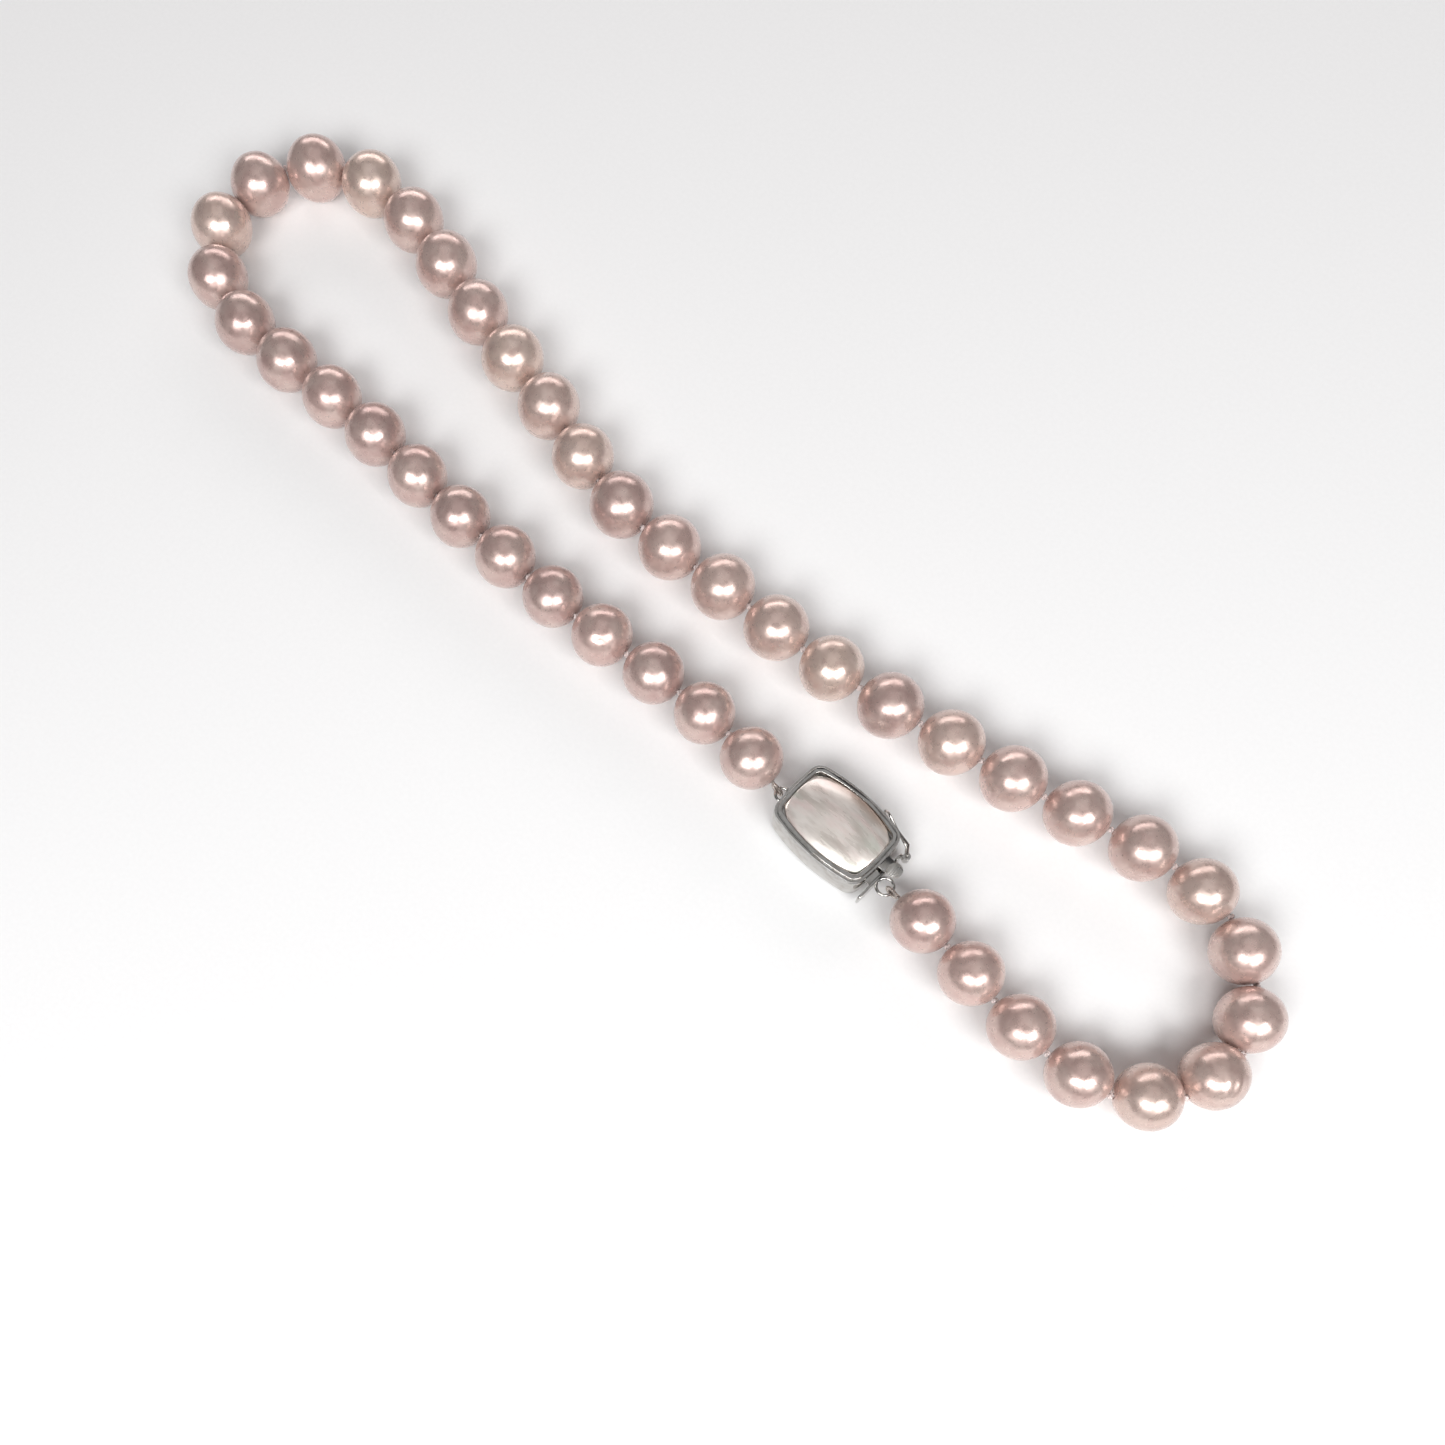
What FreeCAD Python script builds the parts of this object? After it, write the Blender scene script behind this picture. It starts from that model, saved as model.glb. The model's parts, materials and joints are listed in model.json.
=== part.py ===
import FreeCAD, Part
import math
import os

# Pearl necklace: one knotted strand of drilled pearls that closes on a box clasp with a safety catch.
# Origin: centre of the clasp's back, on the surface that the necklace lies on.
# +Z is up. +X runs along the clasp, the way the tongue is pulled out. All sizes are in millimetres.

V = FreeCAD.Vector
Z_AXIS = V(0, 0, 1)

# ---- driving dimensions: strand -------------------------------------------------------------------
PEARL_COUNT = 42
END_PEARL = 8.70  # diameter beside the clasp
MIDDLE_PEARL = 9.25  # diameter opposite the clasp
PEARL_SPREAD = 0.07  # how far a diameter strays from the graduation
PEARL_OVAL = 0.012  # how far a pearl is from round, as a share of its size
DRILL_RADIUS = 0.45
SILK_RADIUS = 0.27
KNOT_RADIUS = 0.50
END_REACH = 1.20  # from a ring's wire to the end pearl's surface
SILK_END_DEPTH = 0.6  # how far inside the outer holes of the end pearls the thread stops

# Route of the strand in plan, from the left ring round to the right ring, as the necklace is laid out.
ROUTE = [
    (-24.0, -0.3),
    (-42.0, -1.9),
    (-61.5, -2.9),
    (-80.5, -2.7),
    (-99.5, -2.2),
    (-113.5, -3.2),
    (-124.5, -2.4),
    (-132.8, 1.7),
    (-137.0, 9.5),
    (-136.0, 19.0),
    (-129.5, 25.9),
    (-119.0, 28.0),
    (-107.0, 26.0),
    (-93.0, 22.2),
    (-73.0, 18.3),
    (-58.5, 14.5),
    (-49.0, 14.0),
    (-34.0, 15.3),
    (-19.5, 16.0),
    (-1.0, 19.0),
    (17.0, 22.4),
    (33.0, 26.4),
    (43.5, 27.0),
    (52.7, 22.9),
    (58.1, 14.5),
    (57.3, 5.0),
    (51.0, -1.9),
    (41.5, -3.8),
    (26.5, -2.7),
]

# ---- driving dimensions: clasp --------------------------------------------------------------------
BOX_LENGTH = 16.0
BOX_WIDTH = 11.4  # across the middle of the bulged sides
BOX_END_WIDTH = 9.4  # across the ends, before the corners are rounded
END_BULGE = 0.35  # how far each end stands out at its middle
CORNER_RADIUS = 1.9
WALL = 0.6
WALL_TOP = 5.6
BACK_THICKNESS = 0.45
BACK_CHAMFER = 0.4
SEAT_BOTTOM = 4.2
SEAT_THICKNESS = 0.4
BEZEL_THICKNESS = 0.3
BEZEL_TOP = 5.95
STONE_GAP = 0.05
STONE_GIRDLE = 5.85  # where the stone's upright edge ends and its dome begins, at mid-side and mid-end
STONE_TOP = 7.1

SLOT_HALF_WIDTH = 2.6
SLOT_BOTTOM = 1.7
SLOT_TOP = 3.85

RING_Z = 3.4
RING_Y = -1.4
RING_WIRE = 0.22  # radius of the rings' wire
LEFT_RING_RADIUS = 0.95
RIGHT_RING_RADIUS = 1.20
LEFT_RING_X = -8.55
RIGHT_RING_X = 10.40

GIMP_LOOP_RADIUS = 0.85
GIMP_RADIUS = 0.25
GIMP_Z = 3.55
GIMP_TAIL_ANGLE = 50  # degrees up the loop, where its tail leaves for the pearl
GIMP_MOUTH_DEPTH = 0.1  # how far inside the pearl's hole the tail straightens
GIMP_PLUG_LENGTH = 0.4
LUG_LENGTH = 0.35  # the right ring's foot on the end plate

PLATE_X = 8.75
PLATE_THICKNESS = 0.35
PLATE_BOTTOM = 0.9
PLATE_TOP = 3.6
PLATE_NEAR = -5.2
PLATE_FAR = 3.7
PLATE_CORNER = 0.6
TAB_NOTCH = (-0.1, 2.5)  # across the plate's top edge, from the near side to the far side
TAB_NOTCH_BOTTOM = 2.3

LEAF_THICKNESS = 0.25
LEAF_HALF_WIDTH = 2.35
LOWER_LEAF_Z = 1.9
FOLD_X = -1.2
FOLD_RADIUS = 0.42
FOLD_GAP = 0.12  # clearance at the fold, between the fixed leaf and the springy one
NECK_X = 7.0  # the upper leaf is full width as far as this
NECK_NEAR = 0.15
NECK_FAR = 2.25
LEAF_END_X = 9.4
LEAF_END_Z = 2.95  # underside of the upper leaf at its outer end
RIDGE_X = 6.5
RIDGE_LENGTH = 0.5
RIDGE_TOP = 3.77

TAB_LENGTH = 1.5
TAB_THICKNESS = 0.4
TAB_RIBS = 4
TAB_LAP = 0.15  # how far the tab reaches back over the neck
TAB_GROOVE_RADIUS = 0.1
TAB_GROOVE_LIFT = 0.04  # height of a groove's centre line above the tab's top

TUBE_X = 9.60
TUBE_Y = 3.90
TUBE_RADIUS = 0.55
TUBE_BORE = 0.25
TUBE_BOTTOM = 1.6
TUBE_TOP = 3.1

CATCH_WIRE = 0.17
CATCH_PIN = (1.15, 3.5)  # lower and upper ends of the upright pin in the tube
CATCH_ELBOW = (8.45, 5.15)  # where the two arms bend round the corner of the clasp, when snapped shut
CATCH_ELBOW_Z = (1.7, 3.05)
CATCH_LOOP_RADIUS = 0.78
CATCH_STANDOFF = 0.35  # from the wall to the loop, when snapped shut
CATCH_REST_OPENING = 8.3  # degrees from snapped shut to resting on the end of the ball
STUD_X = 3.40
STUD_Z = 2.4
STUD_NECK = 0.28
STUD_BALL = 0.42
STUD_REACH = 0.62  # from the wall to the centre of the ball
CATCH_MEETING = 50  # degrees round the catch's loop where its arms join it


CLEAR_REACH = 20.0  # larger than the whole clasp, for cutting away one side of something


# ---- small helpers --------------------------------------------------------------------------------
def box(x, y, z):
    """A block from three (low, high) pairs."""
    return Part.makeBox(x[1] - x[0], y[1] - y[0], z[1] - z[0], V(x[0], y[0], z[0]))


def rod(start, end, radius):
    """A round bar between two points."""
    along = end - start
    return Part.makeCylinder(radius, along.Length, start, along)


def ring(centre, axis, mean_radius, wire_radius):
    """A closed ring of round wire."""
    return Part.makeTorus(mean_radius, wire_radius, centre, axis)


# ---- strand layout --------------------------------------------------------------------------------
def pearl_diameter(number):
    """Pearls grow a little towards the middle of the strand, with a natural spread."""
    graduation = math.sin(math.pi * number / (PEARL_COUNT + 1)) ** 2
    spread = PEARL_SPREAD * math.sin(2.4 * number)
    return END_PEARL + (MIDDLE_PEARL - END_PEARL) * graduation + spread


def pearl_height(number):
    """Height of a pearl's centre: half of its thickness across the drill hole."""
    return pearl_diameter(number) / 2 * (1 + PEARL_OVAL * math.sin(3.7 * number))


def ring_pivots():
    """The two places where the strand hangs on the clasp: the outermost wire of each ring."""
    left = V(LEFT_RING_X - LEFT_RING_RADIUS, RING_Y, 0)
    right = V(RIGHT_RING_X + RIGHT_RING_RADIUS, RING_Y, 0)
    return left, right


def route_curve():
    """A smooth curve through the two rings and the hand-laid points."""
    left, right = ring_pivots()
    points = [left] + [V(x, y, 0) for x, y in ROUTE] + [right]
    curve = Part.BSplineCurve()
    curve.interpolate(points)
    return curve


def step_along(curve, start, distance):
    """The curve parameter whose point lies a straight distance from the point at start."""
    origin = curve.value(start)
    low = start
    high = start
    scan = (curve.LastParameter - curve.FirstParameter) / 2000
    while curve.value(high).distanceToPoint(origin) < distance:
        low = high
        high += scan
        if high > curve.LastParameter:
            return None
    for _ in range(40):
        middle = (low + high) / 2
        if curve.value(middle).distanceToPoint(origin) < distance:
            low = middle
        else:
            high = middle
    return high


def link_lengths(knot_gap):
    """Pivot-to-pivot length of each pearl, with its share of the knots or the end loops."""
    lengths = [pearl_diameter(n) + knot_gap for n in range(1, PEARL_COUNT + 1)]
    lengths[0] += END_REACH - knot_gap / 2
    lengths[-1] += END_REACH - knot_gap / 2
    return lengths


def walk_strand(curve, knot_gap):
    """Parameters of the pivots, or None when the strand is longer than the route."""
    parameters = [curve.FirstParameter]
    for length in link_lengths(knot_gap):
        following = step_along(curve, parameters[-1], length)
        if following is None:
            return None
        parameters.append(following)
    return parameters


def strand_layout():
    """Knot gap that makes the strand fill the route exactly, and the pivots from ring to ring."""
    curve = route_curve()
    short, long = 0.2, 1.5
    for _ in range(30):
        knot_gap = (short + long) / 2
        if walk_strand(curve, knot_gap) is None:
            long = knot_gap
        else:
            short = knot_gap
    pivots = [curve.value(p) for p in walk_strand(curve, short)]
    pivots[-1] = ring_pivots()[1]
    return short, pivots


def pearl_places(knot_gap, pivots):
    """Centre and drill direction of each pearl. End pearls sit off-centre on their longer links."""
    places = []
    for n in range(1, PEARL_COUNT + 1):
        start, end = pivots[n - 1], pivots[n]
        along = (end - start).normalize()
        before = END_REACH if n == 1 else knot_gap / 2
        centre = start + along * (before + pearl_diameter(n) / 2)
        centre.z = pearl_height(n)
        places.append((centre, along))
    return places


# ---- strand pieces --------------------------------------------------------------------------------
def pearl(number, centre, along):
    """A drilled pearl: a ball stretched to its thickness across the drill hole and its length along it."""
    axial = pearl_diameter(number) / 2
    radial = pearl_height(number)
    stretch = FreeCAD.Matrix()
    stretch.scale(radial, radial, axial)
    egg = Part.makeSphere(1).transformGeometry(stretch)
    body = egg.cut(rod(V(0, 0, -2 * axial), V(0, 0, 2 * axial), DRILL_RADIUS))
    body.Placement = FreeCAD.Placement(centre, FreeCAD.Rotation(Z_AXIS, along))
    return body


def knot(centre, along):
    """A ball of knotted thread, whose poles lie on the strand's line."""
    ball = Part.makeSphere(KNOT_RADIUS)
    ball.Placement = FreeCAD.Placement(centre, FreeCAD.Rotation(Z_AXIS, along))
    return ball


def silk_cord(pivots, places):
    """The thread through every pearl, with a knot at each inner pivot."""
    first_centre, first_along = places[0]
    last_centre, last_along = places[-1]
    stops = [first_centre - first_along * (pearl_diameter(1) / 2 - SILK_END_DEPTH)]
    for n in range(1, PEARL_COUNT):
        height = (pearl_height(n) + pearl_height(n + 1)) / 2
        stops.append(V(pivots[n].x, pivots[n].y, height))
    stops.append(last_centre + last_along * (pearl_diameter(PEARL_COUNT) / 2 - SILK_END_DEPTH))
    runs = [rod(start, end, SILK_RADIUS) for start, end in zip(stops, stops[1:])]
    knots = [knot(stops[n], (stops[n + 1] - stops[n - 1]).normalize()) for n in range(1, PEARL_COUNT)]
    return runs[0].multiFuse(runs[1:] + knots)


def gimp_loop(pivot, pearl_centre, pearl_surface):
    """A loop of coiled wire round a ring's wire, with a tail into the end pearl's hole."""
    toward = V(pearl_centre.x - pivot.x, pearl_centre.y - pivot.y, 0).normalize()
    centre = V(pivot.x, pivot.y, GIMP_Z)
    loop = ring(centre, toward.cross(Z_AXIS), GIMP_LOOP_RADIUS, GIMP_RADIUS)
    slope = math.radians(GIMP_TAIL_ANGLE)
    tail_start = centre + toward * (GIMP_LOOP_RADIUS * math.cos(slope))
    tail_start.z += GIMP_LOOP_RADIUS * math.sin(slope)
    mouth = pearl_centre - toward * (pearl_surface - GIMP_MOUTH_DEPTH)
    tail = rod(tail_start, mouth, GIMP_RADIUS)
    plug = rod(mouth, mouth + toward * GIMP_PLUG_LENGTH, GIMP_RADIUS)
    joint = Part.makeSphere(GIMP_RADIUS, mouth)
    return loop.multiFuse([tail, joint, plug])


# ---- clasp pieces ---------------------------------------------------------------------------------
def box_outline(inset, bottom, top):
    """A prism of the clasp's plan shape: bulged sides, gently bulged ends and round corners."""
    half_length = BOX_LENGTH / 2 - inset
    half_width = BOX_WIDTH / 2 - inset
    end_half_width = BOX_END_WIDTH / 2 - inset
    corner_x = half_length - END_BULGE
    corners = [
        V(corner_x, end_half_width, bottom),
        V(-corner_x, end_half_width, bottom),
        V(-corner_x, -end_half_width, bottom),
        V(corner_x, -end_half_width, bottom),
    ]
    middles = [
        V(0, half_width, bottom),
        V(-half_length, 0, bottom),
        V(0, -half_width, bottom),
        V(half_length, 0, bottom),
    ]
    edges = []
    for i in range(4):
        edges.append(Part.Arc(corners[i], middles[i], corners[(i + 1) % 4]).toShape())
    prism = Part.Face(Part.Wire(edges)).extrude(V(0, 0, top - bottom))
    upright = [e for e in prism.Edges if abs(e.tangentAt(e.FirstParameter).z) > 0.99]
    return prism.makeFillet(CORNER_RADIUS - inset, upright)


def slot_block(depth):
    """The space that the tongue passes through in the box's open end."""
    return box(
        (BOX_LENGTH / 2 - depth, BOX_LENGTH / 2 + 1),
        (-SLOT_HALF_WIDTH, SLOT_HALF_WIDTH),
        (SLOT_BOTTOM, SLOT_TOP),
    )


def box_walls():
    outer = box_outline(0, BACK_THICKNESS, WALL_TOP)
    inner = box_outline(WALL, BACK_THICKNESS, WALL_TOP)
    return outer.cut(inner).cut(slot_block(2 * WALL + END_BULGE))


def back_plate():
    plate = box_outline(0, 0, BACK_THICKNESS)
    rim = [e for e in plate.Edges if e.BoundBox.ZMax < 0.01]
    return plate.makeChamfer(BACK_CHAMFER, rim)


def stone_seat():
    return box_outline(WALL, SEAT_BOTTOM, SEAT_BOTTOM + SEAT_THICKNESS)


def bezel():
    """A thin band inside the wall, standing a little above it to grip the stone."""
    floor = SEAT_BOTTOM + SEAT_THICKNESS
    band = box_outline(WALL, floor, WALL_TOP)
    lip = box_outline(WALL - BEZEL_THICKNESS, WALL_TOP, BEZEL_TOP)
    hollow = box_outline(WALL + BEZEL_THICKNESS, floor, BEZEL_TOP)
    return band.fuse(lip).cut(hollow).removeSplitter()


def arch_radius(half_span, rise):
    """Radius of the arc that rises so much over so wide a span."""
    return (half_span**2 + rise**2) / (2 * rise)


def stone_dome(half_length, half_width):
    """A barrel lying along the clasp, whose upper skin arches along and across the stone."""
    rise = STONE_TOP - STONE_GIRDLE
    axis_z = STONE_TOP - arch_radius(half_width, rise)
    along_radius = arch_radius(half_length, rise)
    end_x = BOX_LENGTH / 2
    end_z = STONE_TOP - along_radius + math.sqrt(along_radius**2 - end_x**2)
    edges = [
        Part.Arc(V(-end_x, 0, end_z), V(0, 0, STONE_TOP), V(end_x, 0, end_z)).toShape(),
        Part.makeLine(V(end_x, 0, end_z), V(end_x, 0, axis_z)),
        Part.makeLine(V(end_x, 0, axis_z), V(-end_x, 0, axis_z)),
        Part.makeLine(V(-end_x, 0, axis_z), V(-end_x, 0, end_z)),
    ]
    barrel = Part.Face(Part.Wire(edges))
    return barrel.revolve(V(0, 0, axis_z), V(1, 0, 0), 360)


def mother_of_pearl():
    """A low dome on an upright girdle, inside the bezel."""
    inset = WALL + BEZEL_THICKNESS + STONE_GAP
    floor = SEAT_BOTTOM + SEAT_THICKNESS
    block = box_outline(inset, floor, STONE_TOP + 1)
    return block.common(stone_dome(BOX_LENGTH / 2 - inset, BOX_WIDTH / 2 - inset))


def beyond_plate(top):
    """All the space on the outer side of the end plate, up to a height."""
    return box((PLATE_X + PLATE_THICKNESS, CLEAR_REACH), (-CLEAR_REACH, CLEAR_REACH), (0, top))


def left_ring():
    wire = ring(V(LEFT_RING_X, RING_Y, RING_Z), Z_AXIS, LEFT_RING_RADIUS, RING_WIRE)
    return wire.cut(box_outline(0, BACK_THICKNESS, WALL_TOP))


def right_ring():
    wire = ring(V(RIGHT_RING_X, RING_Y, RING_Z), Z_AXIS, RIGHT_RING_RADIUS, RING_WIRE)
    lug_start = V(PLATE_X + PLATE_THICKNESS, RING_Y, RING_Z - RING_WIRE)
    lug = rod(lug_start, lug_start + V(LUG_LENGTH, 0, 0), 2 * RING_WIRE)
    return wire.fuse(lug).common(beyond_plate(RING_Z + RING_WIRE))


def end_plate():
    """An upright plate over the slot, notched at the top for the thumb tab's neck."""
    x = (PLATE_X, PLATE_X + PLATE_THICKNESS)
    plate = box(x, (PLATE_NEAR, PLATE_FAR), (PLATE_BOTTOM, PLATE_TOP))
    lengthwise = [e for e in plate.Edges if e.BoundBox.XLength > PLATE_THICKNESS / 2]
    plate = plate.makeFillet(PLATE_CORNER, lengthwise)
    return plate.cut(box((x[0] - 1, x[1] + 1), TAB_NOTCH, (TAB_NOTCH_BOTTOM, PLATE_TOP + 1)))


def spring_lower_leaf():
    """The fixed leaf of the spring, with the fold at its inner end."""
    leaf = box(
        (FOLD_X, PLATE_X),
        (-LEAF_HALF_WIDTH, LEAF_HALF_WIDTH),
        (LOWER_LEAF_Z, LOWER_LEAF_Z + LEAF_THICKNESS),
    )
    fold_centre = V(FOLD_X, -LEAF_HALF_WIDTH, LOWER_LEAF_Z + FOLD_RADIUS)
    across = V(0, 1, 0)
    outer = Part.makeCylinder(FOLD_RADIUS, 2 * LEAF_HALF_WIDTH, fold_centre, across)
    inner = Part.makeCylinder(FOLD_RADIUS - LEAF_THICKNESS, 2 * LEAF_HALF_WIDTH, fold_centre, across)
    front = box((FOLD_X, CLEAR_REACH), (-CLEAR_REACH, CLEAR_REACH), (0, CLEAR_REACH))
    return leaf.fuse(outer.cut(inner).cut(front)).removeSplitter()


def upper_leaf_underside(x):
    """Height of the springy leaf's underside, which rises from the fold to the slot."""
    start_x = FOLD_X + FOLD_GAP
    start_z = LOWER_LEAF_Z + 2 * FOLD_RADIUS - LEAF_THICKNESS
    return start_z + (LEAF_END_Z - start_z) * (x - start_x) / (LEAF_END_X - start_x)


def leaf_strip(start_x, end_x, near, far):
    """A length of the springy leaf between two sides."""
    corners = [
        V(start_x, near, upper_leaf_underside(start_x)),
        V(end_x, near, upper_leaf_underside(end_x)),
        V(end_x, near, upper_leaf_underside(end_x) + LEAF_THICKNESS),
        V(start_x, near, upper_leaf_underside(start_x) + LEAF_THICKNESS),
    ]
    return Part.Face(Part.makePolygon(corners + corners[:1])).extrude(V(0, far - near, 0))


def spring_upper_leaf():
    """The springy leaf: full width in the box, a ridge that latches, and a neck that carries the tab."""
    wide = leaf_strip(FOLD_X + FOLD_GAP, NECK_X, -LEAF_HALF_WIDTH, LEAF_HALF_WIDTH)
    neck = leaf_strip(NECK_X, LEAF_END_X, NECK_NEAR, NECK_FAR)
    ridge = box(
        (RIDGE_X, RIDGE_X + RIDGE_LENGTH),
        (-LEAF_HALF_WIDTH, LEAF_HALF_WIDTH),
        (upper_leaf_underside(RIDGE_X) + LEAF_THICKNESS / 2, RIDGE_TOP),
    )
    return wide.multiFuse([neck, ridge]).removeSplitter()


def thumb_tab():
    """A rounded plate with ribs across it, on the end of the leaf's neck."""
    bottom = LEAF_END_Z + LEAF_THICKNESS
    middle = (NECK_NEAR + NECK_FAR) / 2
    half = (NECK_FAR - NECK_NEAR) / 2
    nose_x = LEAF_END_X + TAB_LENGTH - half
    flat = box((LEAF_END_X - TAB_LAP, nose_x), (NECK_NEAR, NECK_FAR), (bottom, bottom + TAB_THICKNESS))
    nose = Part.makeCylinder(half, TAB_THICKNESS, V(nose_x, middle, bottom))
    plate = flat.fuse(nose).removeSplitter()
    groove_z = bottom + TAB_THICKNESS + TAB_GROOVE_LIFT
    pitch = TAB_LENGTH / (TAB_RIBS + 1)
    for i in range(1, TAB_RIBS + 1):
        x = LEAF_END_X + i * pitch - pitch / 2
        near_end = V(x, NECK_NEAR - TAB_LAP, groove_z)
        far_end = V(x, NECK_FAR + TAB_LAP, groove_z)
        plate = plate.cut(rod(near_end, far_end, TAB_GROOVE_RADIUS))
    return plate


def catch_tube():
    tube = Part.makeCylinder(TUBE_RADIUS, TUBE_TOP - TUBE_BOTTOM, V(TUBE_X, TUBE_Y, TUBE_BOTTOM))
    bore = Part.makeCylinder(TUBE_BORE, CLEAR_REACH, V(TUBE_X, TUBE_Y, 0))
    return tube.cut(bore).common(beyond_plate(TUBE_TOP))


def side_wall_y(x):
    """Half width of the clasp at a distance along it: the bulged side's arc."""
    corner_x = BOX_LENGTH / 2 - END_BULGE
    rise = (BOX_WIDTH - BOX_END_WIDTH) / 2
    radius = (corner_x**2 + rise**2) / (2 * rise)
    return BOX_WIDTH / 2 - radius + math.sqrt(radius**2 - x**2)


def stud_axis():
    """Where the stud stands on the bulged side, and the way it points."""
    foot = V(STUD_X, side_wall_y(STUD_X), STUD_Z)
    step = 0.01
    slope = (side_wall_y(STUD_X + step) - side_wall_y(STUD_X - step)) / (2 * step)
    return foot, V(-slope, 1, 0).normalize()


def catch_stud():
    """A short neck with a ball on its end."""
    foot, outward = stud_axis()
    neck = rod(foot - outward * WALL, foot + outward * STUD_REACH, STUD_NECK)
    ball = Part.makeSphere(STUD_BALL, foot + outward * STUD_REACH)
    return neck.fuse(ball).cut(box_outline(0, 0, WALL_TOP))


def catch_arm(pin_z, elbow_z, loop_point):
    """One of the two wires: from the pin, round the clasp's corner, to the loop."""
    start = V(TUBE_X, TUBE_Y, pin_z)
    elbow = V(CATCH_ELBOW[0], CATCH_ELBOW[1], elbow_z)
    bends = [Part.makeSphere(CATCH_WIRE, start), Part.makeSphere(CATCH_WIRE, elbow)]
    return bends + [rod(start, elbow, CATCH_WIRE), rod(elbow, loop_point, CATCH_WIRE)]


def safety_catch():
    """A figure-8 of wire: a pin in the tube, two crossing arms and a loop for the stud."""
    foot, outward = stud_axis()
    centre = foot + outward * CATCH_STANDOFF
    loop = ring(centre, outward, CATCH_LOOP_RADIUS, CATCH_WIRE)
    toward_pin = outward.cross(Z_AXIS)
    meeting = math.radians(CATCH_MEETING)
    side = toward_pin * (CATCH_LOOP_RADIUS * math.cos(meeting))
    rise = V(0, 0, CATCH_LOOP_RADIUS * math.sin(meeting))
    low_z, high_z = CATCH_PIN
    pin = rod(V(TUBE_X, TUBE_Y, low_z), V(TUBE_X, TUBE_Y, high_z), CATCH_WIRE)
    climbing = catch_arm(low_z, CATCH_ELBOW_Z[0], centre + side + rise)
    falling = catch_arm(high_z, CATCH_ELBOW_Z[1], centre + side - rise)
    catch = loop.multiFuse([pin] + climbing + falling)
    catch.rotate(V(TUBE_X, TUBE_Y, 0), Z_AXIS, -CATCH_REST_OPENING)
    return catch


# ---- the whole necklace ---------------------------------------------------------------------------
def all_parts():
    knot_gap, pivots = strand_layout()
    places = pearl_places(knot_gap, pivots)
    first_centre, last_centre = places[0][0], places[-1][0]
    parts = {
        "box_walls": box_walls(),
        "back_plate": back_plate(),
        "stone_seat": stone_seat(),
        "bezel": bezel(),
        "mother_of_pearl": mother_of_pearl(),
        "left_ring": left_ring(),
        "catch_stud": catch_stud(),
        "spring_lower_leaf": spring_lower_leaf(),
        "spring_upper_leaf": spring_upper_leaf(),
        "thumb_tab": thumb_tab(),
        "end_plate": end_plate(),
        "right_ring": right_ring(),
        "catch_tube": catch_tube(),
        "safety_catch": safety_catch(),
        "gimp_left": gimp_loop(pivots[0], first_centre, pearl_diameter(1) / 2),
        "gimp_right": gimp_loop(pivots[-1], last_centre, pearl_diameter(PEARL_COUNT) / 2),
        "silk_cord": silk_cord(pivots, places),
    }
    for n, (centre, along) in enumerate(places, start=1):
        parts[f"pearl_{n:02d}"] = pearl(n, centre, along)
    return parts


def main():
    os.makedirs("parts", exist_ok=True)
    for name, shape in all_parts().items():
        shape.exportStep(f"parts/{name}.step")
        print(f"{name}: {len(shape.Solids)} solid, {shape.Volume:.3f} mm3, valid {shape.isValid()}")
    knot_gap, pivots = strand_layout()
    print(f"knot gap {knot_gap:.3f} mm, strand {sum(link_lengths(knot_gap)):.1f} mm from ring to ring")


if __name__ == "__main__":
    main()
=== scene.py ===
import json
import math
import bmesh
import bpy
from mathutils import Matrix, Vector, noise
from mathutils.bvhtree import BVHTree


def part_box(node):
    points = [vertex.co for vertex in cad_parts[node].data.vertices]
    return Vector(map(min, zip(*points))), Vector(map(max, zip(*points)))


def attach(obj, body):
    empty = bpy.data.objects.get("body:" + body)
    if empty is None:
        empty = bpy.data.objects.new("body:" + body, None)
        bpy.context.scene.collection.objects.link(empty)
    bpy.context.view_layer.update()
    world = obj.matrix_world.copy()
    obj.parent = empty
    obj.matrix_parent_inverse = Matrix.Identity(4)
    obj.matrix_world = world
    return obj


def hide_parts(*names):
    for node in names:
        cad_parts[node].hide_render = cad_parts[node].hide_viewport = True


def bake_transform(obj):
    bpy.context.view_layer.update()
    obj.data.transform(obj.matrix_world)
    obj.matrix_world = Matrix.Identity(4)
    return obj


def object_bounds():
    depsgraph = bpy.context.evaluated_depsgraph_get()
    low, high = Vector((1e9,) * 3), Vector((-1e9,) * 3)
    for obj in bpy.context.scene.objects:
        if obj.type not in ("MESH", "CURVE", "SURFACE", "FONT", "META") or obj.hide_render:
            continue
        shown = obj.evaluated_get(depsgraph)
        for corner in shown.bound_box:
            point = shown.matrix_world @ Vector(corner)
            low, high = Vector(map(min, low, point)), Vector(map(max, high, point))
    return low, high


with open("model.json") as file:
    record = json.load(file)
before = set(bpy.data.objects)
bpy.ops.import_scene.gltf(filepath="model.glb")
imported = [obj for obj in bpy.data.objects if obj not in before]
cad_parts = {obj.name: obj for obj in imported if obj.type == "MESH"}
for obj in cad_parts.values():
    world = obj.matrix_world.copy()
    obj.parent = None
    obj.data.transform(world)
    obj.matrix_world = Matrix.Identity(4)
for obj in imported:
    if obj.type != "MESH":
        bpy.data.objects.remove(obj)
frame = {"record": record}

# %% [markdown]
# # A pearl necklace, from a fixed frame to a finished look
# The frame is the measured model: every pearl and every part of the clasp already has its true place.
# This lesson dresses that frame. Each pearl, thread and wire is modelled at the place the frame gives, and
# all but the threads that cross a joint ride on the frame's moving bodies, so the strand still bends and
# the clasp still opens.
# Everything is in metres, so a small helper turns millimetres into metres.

MM = 0.001
cad_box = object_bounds()
bpy.ops.object.select_all(action="DESELECT")


def box_of(node):
    """Lowest corner, highest corner and centre of a frame part."""
    low, high = (Vector(corner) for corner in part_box(node))
    return low, high, (low + high) / 2


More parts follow.
